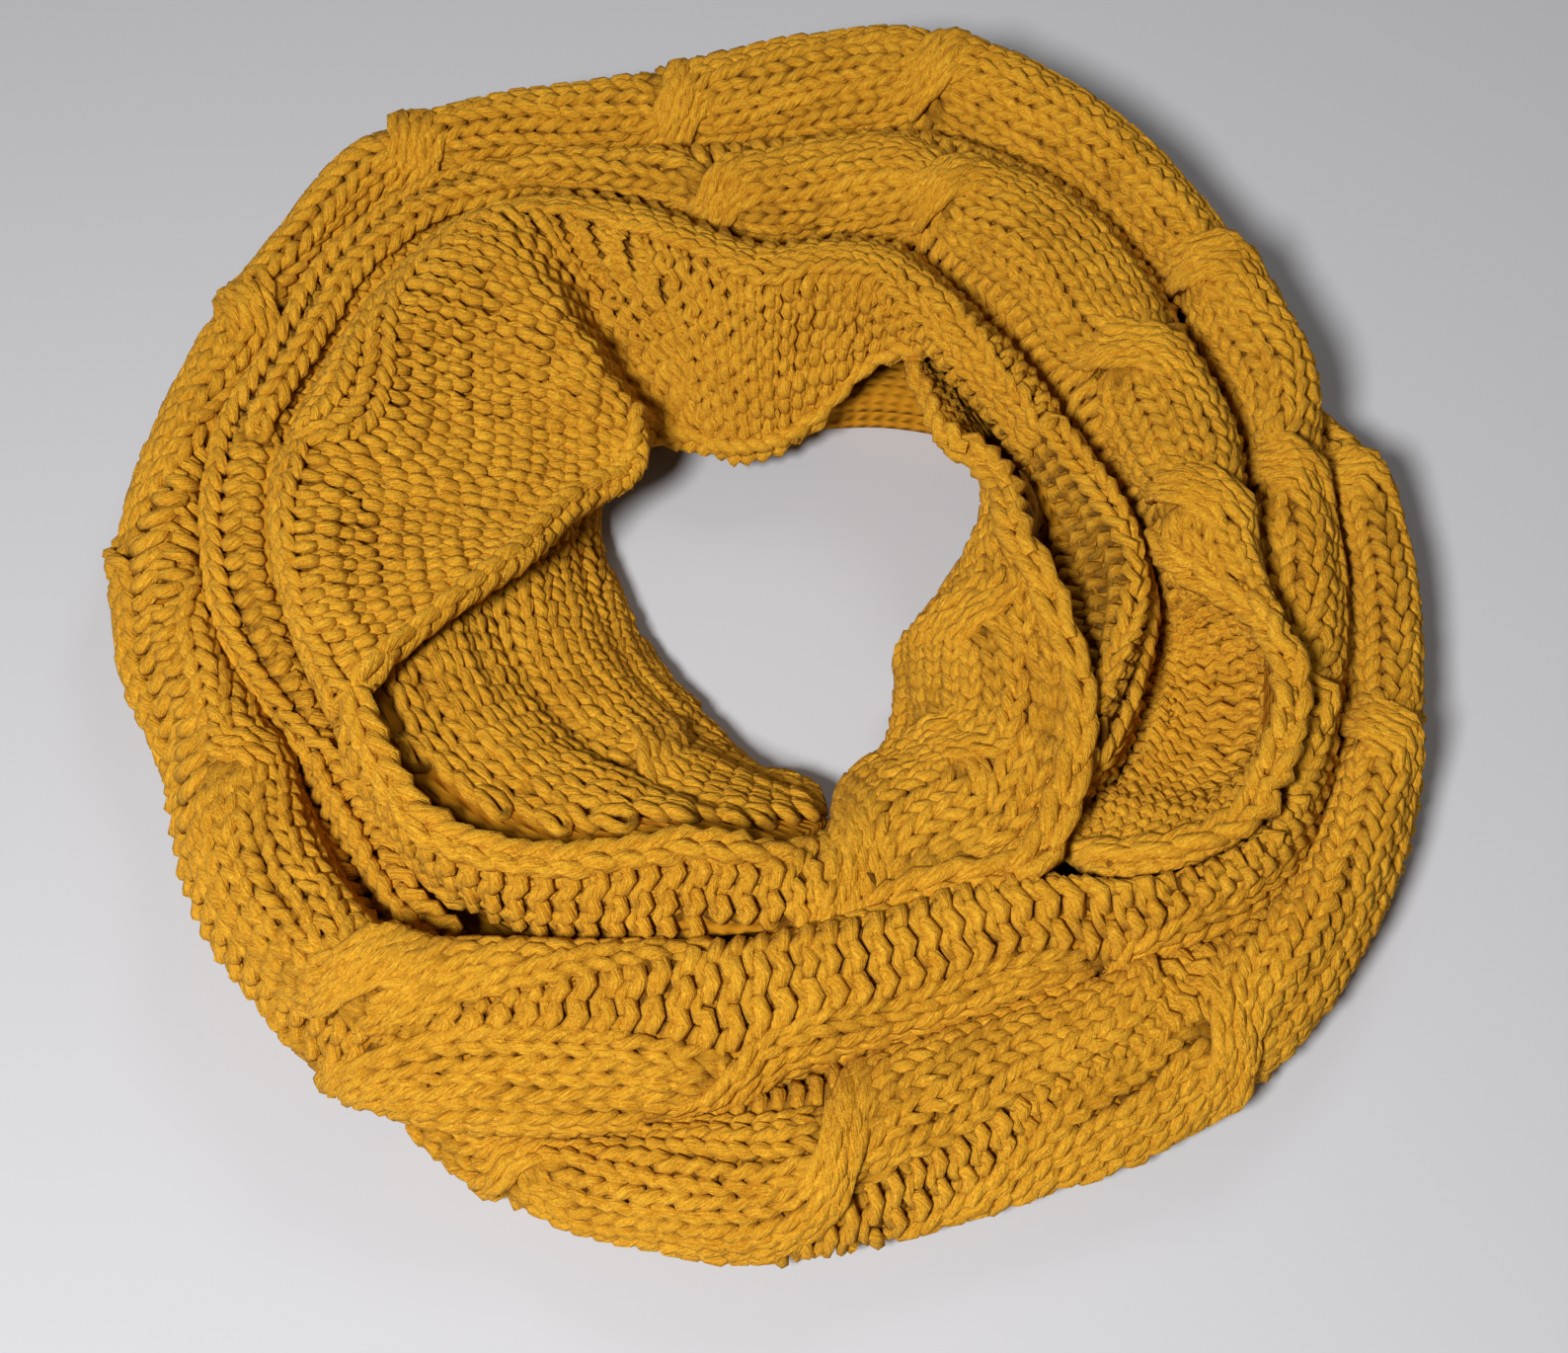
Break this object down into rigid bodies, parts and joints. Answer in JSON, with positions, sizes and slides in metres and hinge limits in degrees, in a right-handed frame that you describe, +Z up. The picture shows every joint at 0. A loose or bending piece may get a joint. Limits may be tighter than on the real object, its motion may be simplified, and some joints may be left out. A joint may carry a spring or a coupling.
{
  "type": "infinity scarf",
  "caption": "Chunky cable-knit infinity scarf, wound double and heaped as a soft ring on a flat surface, with an open hole in the middle.",
  "frame": {"origin": "under the middle of the heap, on the surface it lies on", "axes": "+Z up, away from the surface; -Y towards the front of the heap, where the outermost stretch lies lowest"},
  "size_m": [0.3965, 0.4271, 0.0767],
  "materials": {
    "mustard_yarn": "soft matte chunky acrylic knit"
  },
  "bodies": {
    "root": {"hidden_layers": "mustard_yarn", "outer_turn": "mustard_yarn", "outer_low_stretch": "mustard_yarn", "middle_turn": "mustard_yarn", "inner_turn": "mustard_yarn", "hole_side_band": "mustard_yarn", "pocket_wall": "mustard_yarn"}
  },
  "joints": []
}
